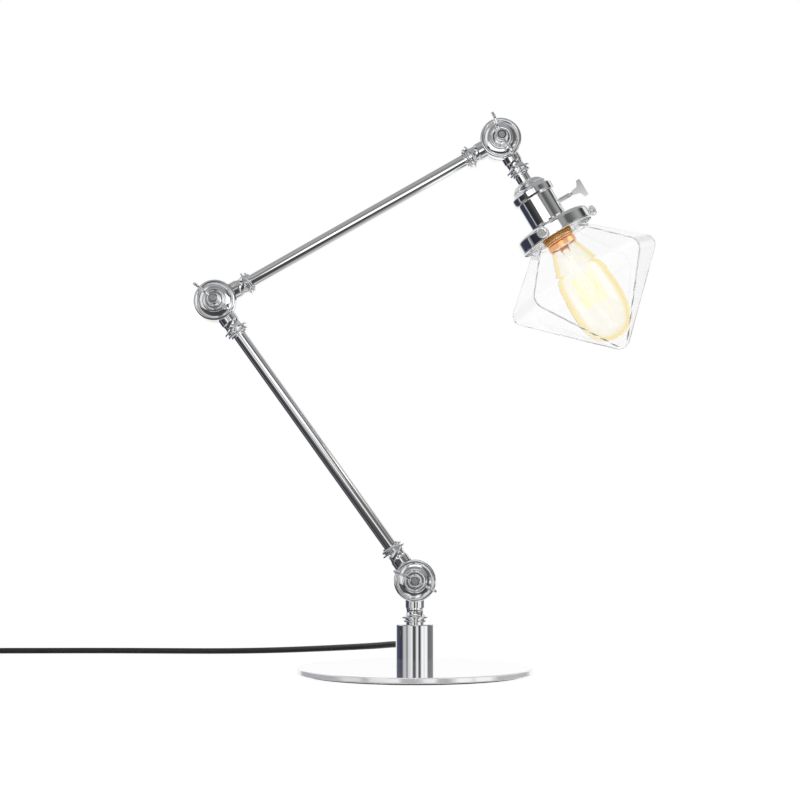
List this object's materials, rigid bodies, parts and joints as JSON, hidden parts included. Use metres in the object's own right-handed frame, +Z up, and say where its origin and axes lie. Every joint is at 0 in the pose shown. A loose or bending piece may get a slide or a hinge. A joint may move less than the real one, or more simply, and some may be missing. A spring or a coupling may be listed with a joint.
{
  "type": "adjustable_table_lamp",
  "caption": "Adjustable table lamp: round chrome base, two jointed arms with wing-nut knuckles, and a lamp holder with a faceted clear glass shade over an amber filament bulb.",
  "frame": {"origin": "on the table under the centre of the round base", "axes": "X to the right along the plane of the arms, -Y toward the wing nuts and the camera, Z up"},
  "size_m": [0.7351, 0.3416, 0.5068],
  "materials": {
    "chrome": "polished",
    "steel": "satin",
    "brass": "satin",
    "black_cord": "satin",
    "wire_cover": "satin",
    "fibre": "matte",
    "pad": "matte",
    "core": "satin",
    "clear_glass": "gloss",
    "amber_glass": "gloss",
    "filament_wire": "satin"
  },
  "bodies": {
    "base": {"base_pad": "pad", "base_plate": "chrome", "stem": "chrome", "tie_pipe": "steel", "tie_nut": "steel", "cord_grommet": "black_cord", "supply_wires": "wire_cover", "base_knuckle_front": "chrome", "base_knuckle_washer": "fibre", "cord_run": "black_cord", "cord_coil": "black_cord", "cord_tie": "black_cord", "plug_body": "black_cord", "plug_pins": "brass"},
    "lower_arm": {"base_knuckle_rear": "chrome", "base_knuckle_bolt": "steel", "lower_tube": "chrome", "lower_wires": "wire_cover", "elbow_front": "chrome", "elbow_washer": "fibre"},
    "upper_arm": {"elbow_rear": "chrome", "elbow_bolt": "steel", "upper_tube": "chrome", "upper_wires": "wire_cover", "head_knuckle_front": "chrome", "head_knuckle_washer": "fibre"},
    "head": {"head_knuckle_rear": "chrome", "head_knuckle_bolt": "steel", "head_spacer": "chrome", "head_pipe": "steel", "head_wires": "wire_cover", "holder_cap": "chrome", "pipe_lock_nut": "steel", "holder_shell": "chrome", "holder_liner": "fibre", "holder_core": "core", "terminal_screws": "brass", "screw_shell": "brass", "centre_contact": "brass", "gallery": "chrome", "gallery_ring": "steel", "glass_shade": "clear_glass", "bulb_glass": "amber_glass", "bulb_cap": "brass", "bulb_contact": "brass", "bulb_mount": "clear_glass", "filament": "filament_wire"},
    "base_nut": {"base_wing_nut": "chrome"},
    "elbow_nut": {"elbow_wing_nut": "chrome"},
    "head_nut": {"head_wing_nut": "chrome"},
    "key": {"switch_key": "chrome"},
    "thumb_front": {"thumb_screw_front": "chrome"},
    "thumb_right": {"thumb_screw_right": "chrome"},
    "thumb_rear": {"thumb_screw_rear": "chrome"}
  },
  "joints": [
    {"name": "base_tilt", "type": "hinge", "parent": "base", "child": "lower_arm", "pos_m": [0, 0, 0.083], "axis": [0, -1, 0], "range_deg": [-35, 25]},
    {"name": "elbow_tilt", "type": "hinge", "parent": "lower_arm", "child": "upper_arm", "pos_m": [-0.18207, 0, 0.33637], "axis": [0, -1, 0], "range_deg": [-31, 90]},
    {"name": "head_tilt", "type": "hinge", "parent": "upper_arm", "child": "head", "pos_m": [0.07948, 0, 0.48737], "axis": [0, -1, 0], "range_deg": [-36, 75]},
    {"name": "base_nut_turn", "type": "hinge", "parent": "base", "child": "base_nut", "pos_m": [0, 0, 0.083], "axis": [0, -1, 0], "continuous": true},
    {"name": "elbow_nut_turn", "type": "hinge", "parent": "lower_arm", "child": "elbow_nut", "pos_m": [-0.18207, 0, 0.33637], "axis": [0, -1, 0], "continuous": true},
    {"name": "head_nut_turn", "type": "hinge", "parent": "upper_arm", "child": "head_nut", "pos_m": [0.07948, 0, 0.48737], "axis": [0, -1, 0], "continuous": true},
    {"name": "key_turn", "type": "hinge", "parent": "head", "child": "key", "pos_m": [0.11772, 0, 0.42112], "axis": [0.866, 0, 0.5], "continuous": true},
    {"name": "thumb_front_turn", "type": "hinge", "parent": "head", "child": "thumb_front", "pos_m": [0.12898, 0, 0.40163], "axis": [-0.366, -0.9063, -0.2113], "continuous": true},
    {"name": "thumb_right_turn", "type": "hinge", "parent": "head", "child": "thumb_right", "pos_m": [0.12898, 0, 0.40163], "axis": [0.8627, 0.0872, 0.4981], "continuous": true},
    {"name": "thumb_rear_turn", "type": "hinge", "parent": "head", "child": "thumb_rear", "pos_m": [0.12898, 0, 0.40163], "axis": [-0.4967, 0.8192, -0.2868], "continuous": true}
  ]
}
